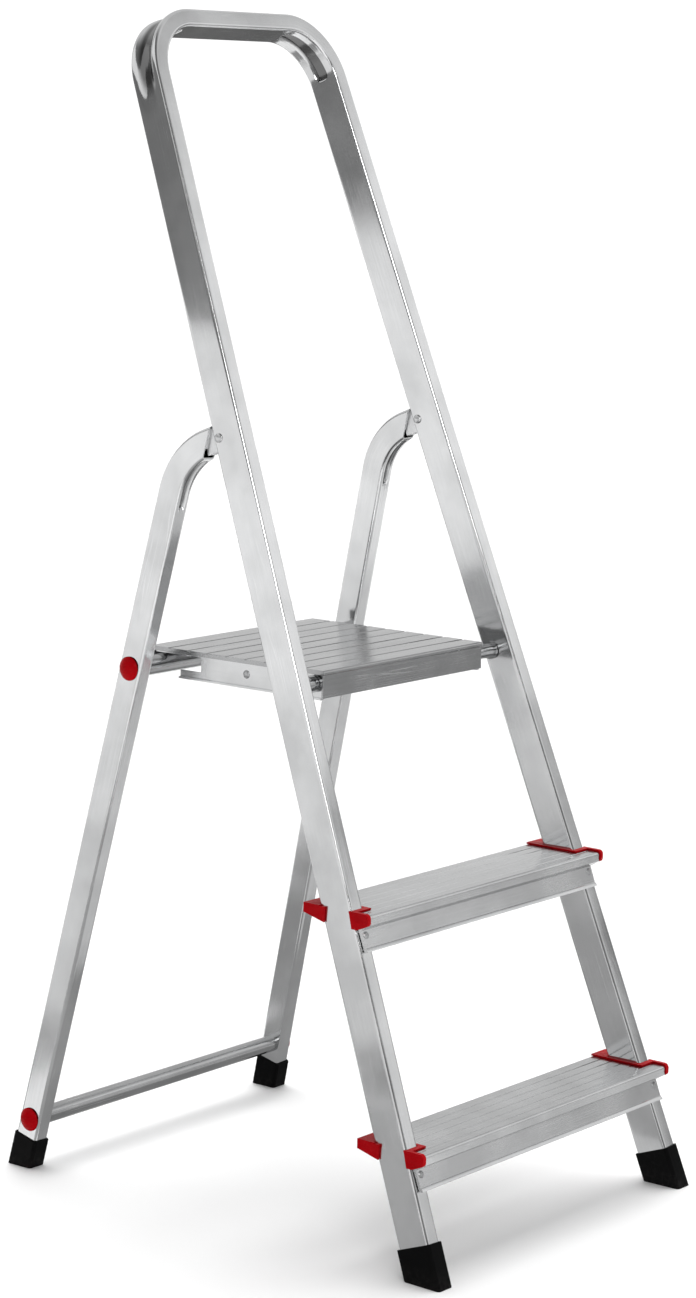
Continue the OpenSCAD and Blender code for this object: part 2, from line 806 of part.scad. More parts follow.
module rear_foot() {
    above_floor() on_leg() difference() {
        translate([0, 0, -foot_below]) linear_extrude(height = foot_below + rear_foot_h)
            round_box(rear_foot_w, rear_foot_d, foot_corner);
        translate([0, 0, leg_cut - lap - fit_gap]) linear_extrude(height = rear_foot_h)
            round_box(leg_w + 2 * fit_gap, leg_d + 2 * fit_gap, tube_corner);
    }
}

module foot_rear_left() {
    color([0.06, 0.06, 0.07]) mirror([1, 0, 0]) rear_foot();
}

module foot_rear_right() {
    color([0.06, 0.06, 0.07]) rear_foot();
}

front_loop();
step_lower();
step_middle();
collar_lower_left();
collar_lower_right();
collar_middle_left();
collar_middle_right();
step_rivets();
foot_front_left();
foot_front_right();
pivot_tube();
hinge_pin_left();
hinge_pin_right();
platform_plate();
platform_rail_left();
platform_rail_right();
platform_tie_rod();
platform_rivets();
rear_leg_left();
rear_leg_right();
hinge_tongue_left();
hinge_tongue_right();
rear_tube_upper();
rear_tube_lower();
cap_upper_left();
cap_upper_right();
cap_lower_left();
cap_lower_right();
foot_rear_left();
foot_rear_right();
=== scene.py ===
"""Folding step ladder: the visual model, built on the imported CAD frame. Metres, +Z up."""

import math

import bmesh
import bpy
from mathutils import Matrix, Vector


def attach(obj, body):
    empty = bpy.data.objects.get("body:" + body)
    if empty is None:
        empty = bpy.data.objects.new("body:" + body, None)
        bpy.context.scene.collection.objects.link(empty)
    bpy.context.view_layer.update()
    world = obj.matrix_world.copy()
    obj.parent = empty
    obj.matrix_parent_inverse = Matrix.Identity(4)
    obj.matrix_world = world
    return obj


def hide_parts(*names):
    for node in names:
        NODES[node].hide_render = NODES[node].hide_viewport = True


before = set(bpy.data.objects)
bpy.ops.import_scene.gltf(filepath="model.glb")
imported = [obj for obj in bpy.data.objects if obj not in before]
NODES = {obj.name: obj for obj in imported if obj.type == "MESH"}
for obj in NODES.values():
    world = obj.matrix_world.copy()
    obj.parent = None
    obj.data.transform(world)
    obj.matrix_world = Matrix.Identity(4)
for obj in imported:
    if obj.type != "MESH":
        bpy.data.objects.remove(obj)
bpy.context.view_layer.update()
MM = 0.001

# ------------------------------------ sizes in mm, as in the CAD except for the pressings
FRONT_LEAN = math.radians(20.7)
REAR_LEAN = math.radians(13.1)
TAPER = math.radians(3.03)
FOLD = FRONT_LEAN + REAR_LEAN
LEG_TURN = math.pi / 2 - FOLD
FLOOR_W = 459.0
REAR_FLOOR_W = 445.0
FRAME_LEN = 1376.0
STILE_W, STILE_D = 20.0, 40.0
LEG_W, LEG_D = 20.0, 30.0
WALL = 1.5
CORNER = 3.5
TOP_R = 68.0
TOP_GROOVE_W, TOP_GROOVE_DEEP = 17.0, 4.0
TOP_GROOVE_SLOPE, TOP_GROOVE_END = 2.4, 5.0
TOP_HOLLOW_W, TOP_HOLLOW_DEEP = 30.0, 5.0
TOP_HOLLOW_SLOPE, TOP_HOLLOW_FADE = 12.0, 52.0
TOP_HOLLOW_DOWN, TOP_HOLLOW_PAST = 40, 6
LEG_R = 80.0
LEG_GROOVE_W, LEG_GROOVE_DEEP = 9.5, 4.0
LEG_GROOVE_SLOPE, LEG_GROOVE_END = 2.6, 4.4
LEG_GROOVE_DOWN = 16
LEG_OFFSET = 51.9
HINGE_UP, HINGE_BACK = 904.0, 12.5
PIN_D = 6.0
PIN_GAP = 0.2
SLOT_SIDE_GAP = 0.7
STILE_CUT, LEG_CUT = 14.0, 10.0
TAIL_RUN = 30.0
MITRE_GAP = 1.5
FOOT_EDGE = 2.4
FULL_RECESS = 3.5

HINGE_Y = HINGE_UP * math.sin(FRONT_LEAN) + HINGE_BACK * math.cos(FRONT_LEAN)
HINGE_Z = HINGE_UP * math.cos(FRONT_LEAN) - HINGE_BACK * math.sin(FRONT_LEAN)
REAR_Y = (
    HINGE_Y
    + LEG_OFFSET * math.cos(REAR_LEAN)
    + (HINGE_Z + LEG_OFFSET * math.sin(REAR_LEAN)) * math.tan(REAR_LEAN)
)
FRONT_Y = -(
    REAR_Y
    + (LEG_D / 2 + FOOT_EDGE) / math.cos(REAR_LEAN)
    - (STILE_D / 2 + FOOT_EDGE) / math.cos(FRONT_LEAN)
) / 2
STILE_X0 = FLOOR_W / 2 - STILE_W / 2 / math.cos(TAPER)
BEND_V = FRAME_LEN - STILE_W / 2 - TOP_R
BEND_X = STILE_X0 - BEND_V * math.tan(TAPER) - TOP_R / math.cos(TAPER)
STILE_LEN = (BEND_V + TOP_R * math.sin(TAPER)) / math.cos(TAPER) - STILE_CUT
HINGE_X = STILE_X0 - HINGE_UP * math.tan(TAPER)
LEG_X0 = REAR_FLOOR_W / 2 - LEG_W / 2
HINGE_V = (REAR_Y - HINGE_Y) * math.sin(REAR_LEAN) + HINGE_Z * math.cos(REAR_LEAN)
LEG_TAPER = math.atan((LEG_X0 - HINGE_X) / HINGE_V)
TAIL_LEN = (LEG_OFFSET - LEG_R * (1 - math.cos(LEG_TURN))) / math.sin(LEG_TURN)
LEG_LEN = (
    HINGE_V / math.cos(LEG_TAPER)
    - LEG_R * math.sin(LEG_TURN)
    - TAIL_LEN * math.cos(LEG_TURN)
    - LEG_CUT
)
TONGUE_HALF = LEG_D / 2 - WALL - 0.2
STILE_BACK = STILE_D / 2 - HINGE_BACK
MITRE_MID = STILE_BACK + MITRE_GAP + LEG_D / 2 * math.tan(FOLD)
SLOT_UP = TONGUE_HALF + 1.2
SLOT_DOWN = (TONGUE_HALF + STILE_BACK * math.sin(FOLD)) / math.cos(FOLD) + 1.2


def turn_x(angle):
    return Matrix.Rotation(angle, 4, "X")


def turn_y(angle):
    return Matrix.Rotation(angle, 4, "Y")


def shift(x, y, z):
    return Matrix.Translation((x, y, z))


MIRROR = Matrix.Diagonal((-1, 1, 1, 1))
IN_FRONT_FRAME = shift(0, FRONT_Y, 0) @ turn_x(-FRONT_LEAN)
ON_LEG = shift(LEG_X0, FRONT_Y + REAR_Y, 0) @ turn_x(REAR_LEAN) @ turn_y(-LEG_TAPER)
AT_HINGE = shift(HINGE_X, FRONT_Y + HINGE_Y, HINGE_Z) @ turn_x(-FRONT_LEAN)


# ---------------------------------------------------------------- materials
class Mat:
    """A node material built up step by step; coordinates are the piece's own, in metres."""

    def __init__(self, name, colour, metallic, roughness):
        self.mat = bpy.data.materials.new(name)
        self.mat.use_nodes = True
        self.tree = self.mat.node_tree
        self.bsdf = self.tree.nodes["Principled BSDF"]
        self.bsdf.inputs["Base Color"].default_value = (*colour, 1)
        self.bsdf.inputs["Metallic"].default_value = metallic
        self.bsdf.inputs["Roughness"].default_value = roughness
        self.bump_from = None

    def node(self, kind, **values):
        n = self.tree.nodes.new(kind)
        for key, value in values.items():
            if key in n.inputs:
                n.inputs[key].default_value = value
            else:
                setattr(n, key, value)
        return n

    def link(self, a, b):
        self.tree.links.new(a, b)

    def coords(self, scale, uv=False):
        tc = self.node("ShaderNodeTexCoord")
        m = self.node("ShaderNodeMapping")
        m.inputs["Scale"].default_value = scale
        self.link(tc.outputs["UV" if uv else "Object"], m.inputs["Vector"])
        return m.outputs["Vector"]

    def noise(self, scale, detail=4.0, rough=0.55, uv=False):
        n = self.node("ShaderNodeTexNoise", Scale=1.0, Detail=detail, Roughness=rough)
        self.link(self.coords(scale, uv), n.inputs["Vector"])
        return n.outputs["Fac"]

    def remap(self, value, low, high, start=0.0, end=1.0):
        n = self.node("ShaderNodeMapRange")
        n.inputs["From Min"].default_value = low
        n.inputs["From Max"].default_value = high
        n.inputs["To Min"].default_value = start
        n.inputs["To Max"].default_value = end
        self.link(value, n.inputs["Value"])
        return n.outputs["Result"]

    def mix(self, factor, a, b):
        """Colours a to b by factor; each is a socket or an (r, g, b)."""
        n = self.node("ShaderNodeMix", data_type="RGBA")
        sockets = [s for s in n.inputs if s.type == "RGBA"]
        for socket, v in zip(sockets, (a, b)):
            if isinstance(v, tuple):
                socket.default_value = (*v, 1)
            else:
                self.link(v, socket)
        factors = [s for s in n.inputs if s.name == "Factor" and s.type == "VALUE"]
        if isinstance(factor, (int, float)):
            factors[0].default_value = factor
        else:
            self.link(factor, factors[0])
        return [s for s in n.outputs if s.type == "RGBA"][0]

    def math(self, op, a, b=None):
        n = self.node("ShaderNodeMath", operation=op)
        for i, v in enumerate((a, b)):
            if v is None:
                continue
            if isinstance(v, (int, float)):
                n.inputs[i].default_value = v
            else:
                self.link(v, n.inputs[i])
        return n.outputs["Value"]

    def bump(self, value, strength, distance):
        n = self.node("ShaderNodeBump")
        n.inputs["Strength"].default_value = strength
        n.inputs["Distance"].default_value = distance
        self.link(value, n.inputs["Height"])
        if self.bump_from:
            self.link(self.bump_from, n.inputs["Normal"])
        self.bump_from = n.outputs["Normal"]
        self.link(n.outputs["Normal"], self.bsdf.inputs["Normal"])

    def set(self, name, value):
        if isinstance(value, (int, float)):
            self.bsdf.inputs[name].default_value = value
        else:
            self.link(value, self.bsdf.inputs[name])

    def scratches(self, scale, uv, thin):
        """Sparse thin lines: the edges of stretched cells, kept only in patches."""
        v = self.node("ShaderNodeTexVoronoi", feature="DISTANCE_TO_EDGE", Scale=1.0)
        self.link(self.coords(scale, uv), v.inputs["Vector"])
        line = self.remap(v.outputs["Distance"], 0.0, thin, 1.0, 0.0)
        patch = self.remap(self.noise((9, 9, 9), 2.0, 0.5, False), 0.54, 0.66)
        return self.math("MULTIPLY", line, patch)


def aluminium(name, colour, rough, along, uv, groove_shade=0.0):
    """Mill-finish aluminium with drawing lines and painted shade in the pressed grooves; along is
    the stretched-coordinate scale.
    """
    m = Mat(name, colour, 1.0, rough)
    lines = m.noise(along, 5.0, 0.6, uv)
    fine = m.noise(tuple(c * 3.1 for c in along), 3.0, 0.7, uv)
    cloud = m.noise((14, 14, 14), 3.0, 0.5)
    speck = m.noise((900, 900, 900), 2.0, 0.6)
    dark = tuple(c * 0.86 for c in colour)
    bright = tuple(min(1.0, c * 1.05) for c in colour)
    tint = m.mix(m.remap(cloud, 0.35, 0.65), dark, bright)
    tint = m.mix(m.remap(lines, 0.3, 0.75, 0.0, 0.22), tint, tuple(c * 0.85 for c in colour))
    scratch = m.scratches(tuple(c * 0.35 for c in along), uv, 0.02)
    tint = m.mix(m.math("MULTIPLY", scratch, 0.35), tint, (0.95, 0.95, 0.96))
    # Painted shade: the pressed grooves and hollows darken towards near-black with their depth.
    if groove_shade:
        deep = m.node("ShaderNodeAttribute", attribute_name="recess")
        painted_shade = m.math("MULTIPLY", m.remap(deep.outputs["Fac"], 0.35, 1.0), groove_shade)
        tint = m.mix(painted_shade, tint, (0.10, 0.10, 0.10))
    m.link(tint, m.bsdf.inputs["Base Color"])
    r = m.math("ADD", m.remap(lines, 0.25, 0.75, rough - 0.05, rough + 0.07),
               m.remap(cloud, 0.3, 0.7, -0.03, 0.05))
    r = m.math("ADD", r, m.math("MULTIPLY", scratch, 0.12))
    m.set("Roughness", r)
    m.bump(lines, 0.05, 0.00006)
    m.bump(fine, 0.05, 0.00003)
    m.bump(speck, 0.06, 0.00003)
    m.bump(scratch, 0.2, 0.00003)
    return m.mat


def plastic(name, colour, rough, shine, dusty, dust_colour):
    """Moulded plastic: fine grain, uneven gloss, rub marks and dust low down."""
    m = Mat(name, colour, 0.0, rough)
    cloud = m.noise((30, 30, 30), 3.0, 0.5)
    grain = m.noise((1500, 1500, 1500), 2.0, 0.6)
    flow = m.noise((60, 60, 220), 4.0, 0.6)
    m.set("Specular IOR Level", shine)
    deep = tuple(c * 0.72 for c in colour)
    tint = m.mix(m.remap(cloud, 0.3, 0.7, 0.0, 0.8), colour, deep)
    scratch = m.scratches((160, 160, 90), False, 0.02)
    pale = tuple(min(1.0, c * 1.6 + 0.03) for c in colour)
    tint = m.mix(m.math("MULTIPLY", scratch, 0.5), tint, pale)
    if dusty:
        tc = m.node("ShaderNodeTexCoord")
        split = m.node("ShaderNodeSeparateXYZ")
        m.link(tc.outputs["Object"], split.inputs["Vector"])
        low = m.remap(split.outputs["Z"], 0.0, 0.022, 1.0, 0.0)
        patchy = m.remap(m.noise((180, 180, 180), 4.0, 0.65), 0.42, 0.7)
        dust = m.math("MULTIPLY", m.math("MULTIPLY", low, patchy), dusty)
        tint = m.mix(dust, tint, dust_colour)
    m.link(tint, m.bsdf.inputs["Base Color"])
    r = m.math("ADD", m.remap(flow, 0.3, 0.7, rough - 0.06, rough + 0.1),
               m.math("MULTIPLY", scratch, 0.2))
    m.set("Roughness", r)
    m.bump(grain, 0.15, 0.00004)
    m.bump(flow, 0.06, 0.0002)
    m.bump(scratch, 0.3, 0.00004)
    return m.mat


# The last number sets how dark the painted shade in the pressed grooves is.
FRAME_MAT = aluminium("frame_aluminium", (0.66, 0.665, 0.67), 0.13, (6, 700, 6), True, 0.9)
LEG_MAT = aluminium("leg_aluminium", (0.66, 0.665, 0.67), 0.14, (6, 640, 6), True, 0.7)
TREAD_MAT = aluminium("tread_aluminium", (0.60, 0.605, 0.61), 0.22, (5, 620, 620), False)
PLATE_MAT = aluminium("plate_aluminium", (0.41, 0.414, 0.418), 0.22, (5, 580, 580), False)
RAIL_MAT = aluminium("rail_aluminium", (0.66, 0.665, 0.67), 0.18, (500, 6, 500), False)
TUBE_MAT = aluminium("tube_aluminium", (0.44, 0.444, 0.448), 0.16, (5, 500, 500), False)
TONGUE_MAT = aluminium("cast_tongue", (0.74, 0.745, 0.75), 0.42, (90, 90, 90), False)
RIVET_MAT = aluminium("rivet_aluminium", (0.40, 0.404, 0.408), 0.36, (260, 260, 260), False)
PIN_MAT = aluminium("pin_aluminium", (0.60, 0.605, 0.61), 0.30, (300, 300, 300), False)
RED_MAT = plastic("red_plastic", (0.42, 0.0006, 0.004), 0.26, 0.03, 0.0, (0.3, 0.2, 0.2))
FOOT_MAT = plastic("foot_plastic", (0.003, 0.003, 0.0032), 0.45, 0.04, 0.12, (0.10, 0.09, 0.085))


# ---------------------------------------------------------------- mesh helpers
def finish_mesh(bm, name, mat, smooth_deg=32):
    """bm becomes an object in metres with sharp edges marked by angle."""
    bm.normal_update()
    limit = math.radians(smooth_deg)
    for f in bm.faces:
        f.smooth = True
    for e in bm.edges:
        if len(e.link_faces) == 2:
            e.smooth = e.calc_face_angle(0.0) < limit
    mesh = bpy.data.meshes.new(name)
    bm.to_mesh(mesh)
    bm.free()
    mesh.materials.append(mat)
    obj = bpy.data.objects.new(name, mesh)
    bpy.context.scene.collection.objects.link(obj)
    weigh = obj.modifiers.new("flat_faces", "WEIGHTED_NORMAL")
    weigh.keep_sharp = True
    weigh.weight = 90
    return obj


def softened(node, name, mat, body, width=0.4, segments=2, split_deg=28):
    """A piece with the CAD node's shape and its sharp edges rounded off."""
    bm = bmesh.new()
    bm.from_mesh(NODES[node].data)
    bmesh.ops.remove_doubles(bm, verts=bm.verts, dist=2e-6)
    bmesh.ops.dissolve_limit(bm, angle_limit=math.radians(0.4), verts=bm.verts, edges=bm.edges)
    sharp = [e for e in bm.edges
             if len(e.link_faces) == 2 and e.calc_face_angle(0.0) > math.radians(split_deg)]
    bmesh.ops.bevel(bm, geom=sharp, offset=width * MM, offset_type="OFFSET", segments=segments,
                    profile=0.5, affect="EDGES", clamp_overlap=True, harden_normals=False)
    obj = finish_mesh(bm, name, mat, 50)
    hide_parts(node)
    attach(obj, body)
    return obj


def ring_points(w, d, r, dent, across=22, steps=6):
    """Outline of a rounded box, counter-clockwise; dent(b) is how far each side is pressed in."""
    inner = d / 2 - r
    pts = []

    def side(sign):
        for i in range(1, across):
            b = -sign * (inner - 2 * inner * i / across)
            pts.append((sign * (w / 2 - dent(b)[0 if sign < 0 else 1]), b))

    def corner(cx, cy, a0):
        for i in range(steps + 1):
            a = math.radians(a0 + 90 * i / steps)
            pts.append((cx + r * math.cos(a), cy + r * math.sin(a)))

    side(-1)
    corner(-w / 2 + r, -inner, 180)
    corner(w / 2 - r, -inner, 270)
    side(1)
    corner(w / 2 - r, inner, 0)
    corner(-w / 2 + r, inner, 90)
    return pts


def hollow_tube(stations, w, d, place, groove):
    """Tube along stations (point, outward, across, s); groove(s, b) is how far the inner and the
    outer side are pressed in."""
    bm = bmesh.new()
    uv = bm.loops.layers.uv.new("grain")
    # The pressing's depth, which the aluminium uses as the mask of its painted groove shade.
    recess = bm.verts.layers.float.new("recess")
    shells = []
    for inset in (0.0, WALL):
        rings = []
        for p, out, side, s in stations:
            pts = ring_points(w - 2 * inset, d - 2 * inset, max(CORNER - inset, 0.6),
                              lambda b: groove(s, b))
            rings.append([bm.verts.new(place @ (p + out * a + side * b)) for a, b in pts])
            for v, (a, b) in zip(rings[-1], pts):
                if abs(b) < d / 2 - CORNER:
                    v[recess] = min(1.0, groove(s, b)[0 if a < 0 else 1] / FULL_RECESS)
        shells.append(rings)
    n = len(shells[0][0])
    around = [0.0]
    base = ring_points(w, d, CORNER, lambda b: (0.0, 0.0))
    for i in range(n):
        around.append(around[-1] + math.dist(base[i], base[(i + 1) % n]))
    for k, rings in enumerate(shells):
        for j in range(len(rings) - 1):
            for i in range(n):
                i2 = (i + 1) % n
                quad = (rings[j][i], rings[j][i2], rings[j + 1][i2], rings[j + 1][i])
                coords = ((j, i), (j, i + 1), (j + 1, i + 1), (j + 1, i))
                if k:
                    quad, coords = quad[::-1], coords[::-1]
                f = bm.faces.new(quad)
                for loop, (jj, ii) in zip(f.loops, coords):
                    loop[uv].uv = (stations[jj][3] * MM, around[ii] * MM)
    for end, flip in ((0, True), (-1, False)):
        a, b = shells[0][end], shells[1][end]
        for i in range(n):
            i2 = (i + 1) % n
            quad = (a[i], a[i2], b[i2], b[i])
            bm.faces.new(quad[::-1] if flip else quad)
    for v in bm.verts:
        v.co *= MM
    bmesh.ops.recalc_face_normals(bm, faces=bm.faces)
    return bm


def block(matrix, lo, hi):
    """A closed box from lo to hi in mm, placed by matrix."""
    bm = bmesh.new()
    bmesh.ops.create_cube(bm, size=1.0)
    for v in bm.verts:
        v.co = matrix @ Vector(lo[i] + (v.co[i] + 0.5) * (hi[i] - lo[i]) for i in range(3))
        v.co *= MM
    bmesh.ops.recalc_face_normals(bm, faces=bm.faces)
    return bm


def rod(matrix, x0, x1, d, sides=40):
    """A closed cylinder along x in mm, placed by matrix."""
    bm = bmesh.new()
    bmesh.ops.create_cone(bm, cap_ends=True, segments=sides, radius1=d / 2, radius2=d / 2,
                          depth=x1 - x0, matrix=shift((x0 + x1) / 2, 0, 0) @ turn_y(math.pi / 2))
    for v in bm.verts:
        v.co = (matrix @ v.co) * MM
    bmesh.ops.recalc_face_normals(bm, faces=bm.faces)
    return bm


def cut(bm, cutters):
    """bm with the cutters taken away, as a new bmesh."""
    def temp(b, name):
        mesh = bpy.data.meshes.new(name)
        b.to_mesh(mesh)
        b.free()
        o = bpy.data.objects.new(name, mesh)
        bpy.context.scene.collection.objects.link(o)
        return o

    target = temp(bm, "cut_target")
    made = [temp(c, "cutter") for c in cutters]
    for c in made:
        mod = target.modifiers.new("cut", "BOOLEAN")
        mod.operation = "DIFFERENCE"
        mod.solver = "EXACT"
        mod.object = c
    bpy.context.view_layer.update()
    graph = bpy.context.evaluated_depsgraph_get()
    mesh = bpy.data.meshes.new_from_object(target.evaluated_get(graph))
    out = bmesh.new()
    out.from_mesh(mesh)
    for o in [target] + made:
        data = o.data
        bpy.data.objects.remove(o)
        bpy.data.meshes.remove(data)
    bpy.data.meshes.remove(mesh)
    return out


def smoothstep(x):
    x = min(1.0, max(0.0, x))
    return x * x * (3 - 2 * x)


def pressed(start, end, wide, deep, slope, corner):
    """Depth of a pressed groove with rounded ends, at s along and b across the tube."""
    mid, half = (start + end) / 2, (end - start) / 2

    def depth(s, b):
        x = abs(s - mid) - (half - corner)
        y = abs(b) - (wide / 2 - corner)
        outside = math.hypot(max(x, 0), max(y, 0)) + min(max(x, y), 0) - corner
        return deep * smoothstep(-outside / slope)

    return depth


def sunken(start, end, wide, deep, slope, fade):
    """Depth of a broad hollow that dies away at its ends."""
    def depth(s, b):
        along = smoothstep((s - start) / fade) * smoothstep((end - s) / fade)
        return deep * along * smoothstep((wide / 2 - abs(b)) / slope)

    return depth


# ---------------------------------------------------------------- front loop
def loop_stations():
    """Points up the left stile, over the top and down the right stile, in the frame's plane."""
    p = Vector((-STILE_X0, 0, 0)) + Vector((math.sin(TAPER), 0, math.cos(TAPER))) * STILE_CUT
    heading = TAPER
    s = 0.0
    side = Vector((0, -1, 0))
    out = []

    def add():
        out.append((p.copy(), Vector((-math.cos(heading), 0, math.sin(heading))), side, s))

    def straight(length, spaces):
        nonlocal p, s
        fwd = Vector((math.sin(heading), 0, math.cos(heading)))
        for step in spaces:
            add()
            p = p + fwd * (length * step)
            s += length * step

    def corner():
        nonlocal p, s, heading
        turn = math.pi / 2 - TAPER
        steps = 56
        arc = TOP_R * turn / steps
        for _ in range(steps):
            add()
            mid = heading + turn / steps / 2
            chord = 2 * TOP_R * math.sin(turn / steps / 2)
            p = p + Vector((math.sin(mid), 0, math.cos(mid))) * chord
            heading += turn / steps
            s += arc

    up_stile = [0.05, 0.3, 0.3, 0.31] + [0.005] * 8
    straight(STILE_LEN, up_stile)
    marks = [s]
    corner()
    marks.append(s)
    straight(2 * BEND_X, [0.02] * 3 + [0.22] * 4 + [0.02] * 3)
    marks.append(s)
    corner()
    marks.append(s)
    straight(STILE_LEN, up_stile[::-1])
    add()
    return out, marks


def build_front_loop():
    stations, m = loop_stations()
    edge = TOP_R * math.radians(4)
    inner = (TOP_GROOVE_W, TOP_GROOVE_DEEP, TOP_GROOVE_SLOPE, TOP_GROOVE_END)
    outer = (TOP_HOLLOW_W, TOP_HOLLOW_DEEP, TOP_HOLLOW_SLOPE, TOP_HOLLOW_FADE)
    g1 = pressed(m[0] + edge, m[1] - edge, *inner)
    g2 = pressed(m[2] + edge, m[3] - edge, *inner)
    h1 = sunken(m[0] - TOP_HOLLOW_DOWN, m[1] + TOP_HOLLOW_PAST, *outer)
    h2 = sunken(m[2] - TOP_HOLLOW_PAST, m[3] + TOP_HOLLOW_DOWN, *outer)
    bm = hollow_tube(stations, STILE_W, STILE_D, IN_FRONT_FRAME,
                     lambda s, b: (g1(s, b) + g2(s, b), h1(s, b) + h2(s, b)))
    # Known fault: the mirrored cutters take nothing away, so the left slot and pin hole are missing
    half = STILE_W / 2 - WALL - SLOT_SIDE_GAP
    cutters = []
    for mirror in (Matrix.Identity(4), MIRROR):
        at = mirror @ AT_HINGE
        cutters.append(block(at, (-half, 0, -SLOT_DOWN), (half, STILE_D, SLOT_UP)))
        cutters.append(rod(at, -STILE_W, STILE_W, PIN_D + PIN_GAP))
    bm = cut(bm, cutters)
    obj = finish_mesh(bm, "front_loop_tube", FRAME_MAT)
    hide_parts("front_loop")
    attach(obj, "front_frame")
    return obj


# ---------------------------------------------------------------- rear legs
def leg_stations():
    out = []
    side = Vector((1, 0, 0))
    for part in (0, 0.25, 0.5, 0.75, 0.92) + tuple(0.95 + 0.005 * i for i in range(10)):
        z = LEG_CUT + LEG_LEN * part
        out.append((Vector((0, 0, z)), Vector((0, 1, 0)), side, z - LEG_CUT))
    z1 = LEG_CUT + LEG_LEN
    steps = 48
    for i in range(steps + 1):
        a = LEG_TURN * i / steps
        p = Vector((0, -LEG_R + LEG_R * math.cos(a), z1 + LEG_R * math.sin(a)))
        out.append((p, Vector((0, math.cos(a), math.sin(a))), side, LEG_LEN + LEG_R * a))
    end, a = out[-1][0], LEG_TURN
    fwd = Vector((0, -math.sin(a), math.cos(a)))
    s = out[-1][3]
    for step in (8.0, TAIL_RUN):
        out.append((end + fwd * step, Vector((0, math.cos(a), math.sin(a))), side, s + step))
    return out


def build_rear_legs():
    """The right leg, and its mirror image as the left one."""
    stations = leg_stations()
    start = LEG_LEN - LEG_GROOVE_DOWN
    end = LEG_LEN + LEG_R * (LEG_TURN - math.radians(12))
    groove = pressed(start, end, LEG_GROOVE_W, LEG_GROOVE_DEEP, LEG_GROOVE_SLOPE, LEG_GROOVE_END)
    bm = hollow_tube(stations, LEG_D, LEG_W, ON_LEG, lambda s, b: (groove(s, b), 0.0))
    at = AT_HINGE @ shift(0, MITRE_MID, 0) @ turn_x(FOLD)
    right_leg = cut(bm, [block(at, (-50, -100, -100), (50, 0, 100))])
    left_leg = right_leg.copy()
    for v in left_leg.verts:
        v.co.x = -v.co.x
    bmesh.ops.reverse_faces(left_leg, faces=left_leg.faces)
    for which, leg in (("right", right_leg), ("left", left_leg)):
        obj = finish_mesh(leg, "rear_leg_tube_" + which, LEG_MAT)
        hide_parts("rear_leg_" + which)
        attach(obj, "rear_frame")


build_front_loop()
build_rear_legs()

for tread in ("lower", "middle"):
    softened("step_" + tread, "tread_" + tread, TREAD_MAT, "front_frame",
             0.35)
softened("platform_plate", "platform_deck", PLATE_MAT, "platform",
         0.35)
for side in ("left", "right"):
    softened("platform_rail_" + side, "platform_side_" + side, RAIL_MAT, "platform",
             0.3)
    for tread in ("lower", "middle"):
        softened(f"collar_{tread}_{side}", f"end_cap_{tread}_{side}", RED_MAT, "front_frame",
                 1.1, 3)
    softened("foot_front_" + side, "foot_shoe_front_" + side, FOOT_MAT, "front_frame",
             0.8, 3)
    softened("foot_rear_" + side, "foot_shoe_rear_" + side, FOOT_MAT, "rear_frame",
             0.8, 3)
    softened("hinge_tongue_" + side, "hinge_link_" + side, TONGUE_MAT, "rear_frame",
             0.4)

KEPT = {
    "step_rivets": RIVET_MAT, "platform_rivets": RIVET_MAT, "platform_tie_rod": RIVET_MAT,
    "hinge_pin_left": PIN_MAT, "hinge_pin_right": PIN_MAT, "pivot_tube": TUBE_MAT,
    "rear_tube_upper": TUBE_MAT, "rear_tube_lower": TUBE_MAT, "cap_upper_left": RED_MAT,
    "cap_upper_right": RED_MAT, "cap_lower_left": RED_MAT, "cap_lower_right": RED_MAT,
}
for name, mat in KEPT.items():
    mesh = NODES[name].data
    mesh.materials.clear()
    mesh.materials.append(mat)


# ---------------------------------------------------------------- studio
def flat(name, corners, mat):
    mesh = bpy.data.meshes.new(name)
    mesh.from_pydata(corners, [], [list(range(len(corners)))])
    mesh.materials.append(mat)
    obj = bpy.data.objects.new(name, mesh)
    bpy.context.scene.collection.objects.link(obj)
    return obj


def plain(name, grey, emit=0.0):
    m = Mat(name, (grey, grey, grey), 0.0, 0.9)
    m.set("Specular IOR Level", 0.1)
    if emit:
        m.bsdf.inputs["Emission Color"].default_value = (1, 1, 1, 1)
        m.bsdf.inputs["Emission Strength"].default_value = emit
    return m.mat


def area(name, place, aim, size, power):
    light = bpy.data.lights.new(name, "AREA")
    light.shape = "RECTANGLE"
    light.size, light.size_y = size
    light.energy = power
    obj = bpy.data.objects.new(name, light)
    bpy.context.scene.collection.objects.link(obj)
    obj.location = place
    obj.rotation_euler = (Vector(aim) - Vector(place)).to_track_quat("-Z", "Y").to_euler()
    return obj


# Where the ladder's left sides and its front faces look, from the camera's side
LEFT, RIGHT = -51, 127
LEFT_NEAR, LEFT_FAR, RIGHT_AWAY = 0.8, 2.7, 4.3
FLAG_Z, LOW_FLAG_Z, SIDE_FLAG_Z = 0.002, 0.0015, 0.001
FLOOR_MAT = plain("floor", 0.96)
flat("floor", [(-40, -40, 0), (40, -40, 0), (40, 40, 0), (-40, 40, 0)], FLOOR_MAT)


def card(name, corners, strength):
    """A glowing panel that only the metal reflects: unseen by the camera, no shadow or light."""
    obj = flat(name, corners, plain(name, 0.02, strength))
    obj.visible_camera = False
    obj.visible_shadow = False
    obj.visible_diffuse = False
    return obj


